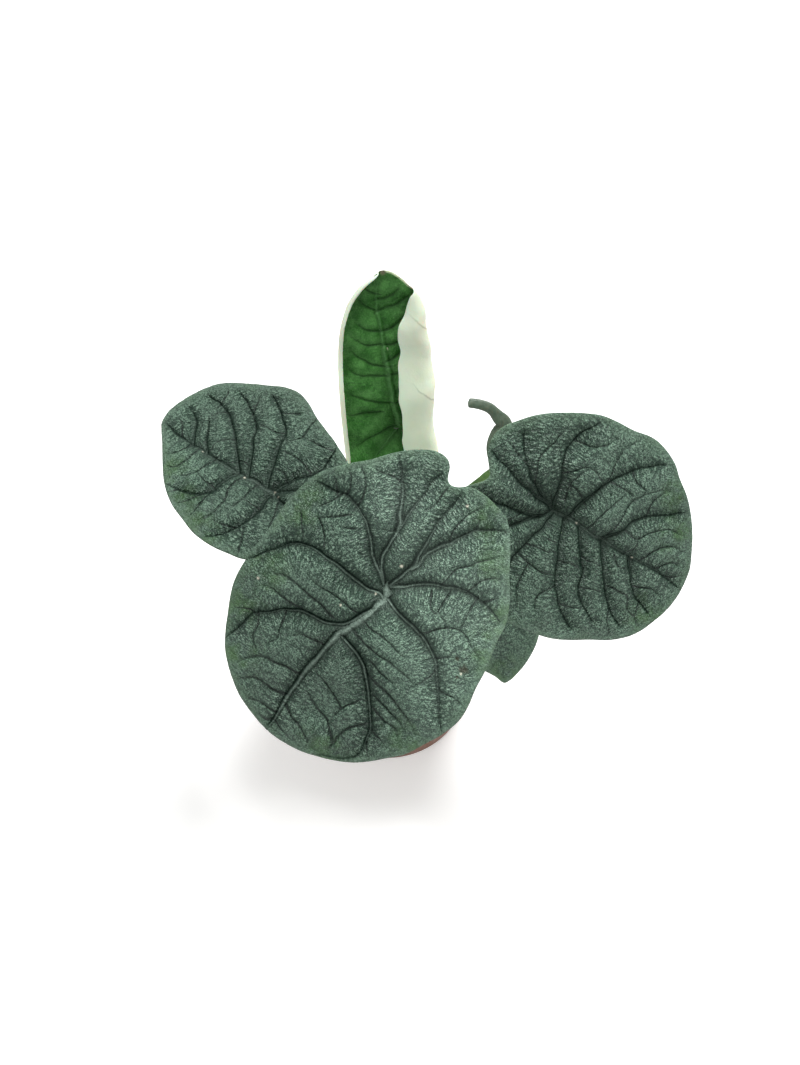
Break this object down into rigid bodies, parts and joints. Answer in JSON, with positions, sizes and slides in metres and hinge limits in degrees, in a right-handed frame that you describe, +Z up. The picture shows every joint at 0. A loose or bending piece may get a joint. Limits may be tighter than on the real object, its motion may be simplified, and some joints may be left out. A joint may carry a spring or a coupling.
{
  "type": "alocasia melo plant in a nursery pot",
  "caption": "Potted foliage plant: thick rounded shield leaves with a quilted, deeply veined face on slender stalks, one new leaf still rolled, in a round plastic nursery pot.",
  "frame": {"origin": "middle of the pot's foot, on the surface that the pot stands on", "axes": "+Z up along the pot; -Y to the plant's front, where the largest leaf faces; +X to the right seen from the front"},
  "size_m": [0.2142, 0.1675, 0.2321],
  "materials": {
    "pot_plastic": "moulded terracotta-coloured nursery plastic, slightly scuffed",
    "potting_mix": "dark coarse potting mix with bark and perlite, matt",
    "crown_tissue": "fibrous brown-green crown with leaf scars",
    "stalk_tissue": "smooth fleshy green stalk, satin",
    "leaf_blade": "thick dark blue-green blade, fine granular texture with a dull sheen",
    "young_blade": "soft bright green blade, pale cream-green underneath, satin"
  },
  "bodies": {
    "root": {"pot": "pot_plastic", "soil": "potting_mix", "crown": "crown_tissue", "stalk_front": "stalk_tissue", "stalk_left": "stalk_tissue", "stalk_right": "stalk_tissue", "stalk_low": "stalk_tissue", "stalk_young": "stalk_tissue", "stalk_old": "stalk_tissue", "blade_front": "leaf_blade", "blade_left": "leaf_blade", "blade_right": "leaf_blade", "blade_low": "leaf_blade", "blade_young": "young_blade"}
  },
  "joints": []
}
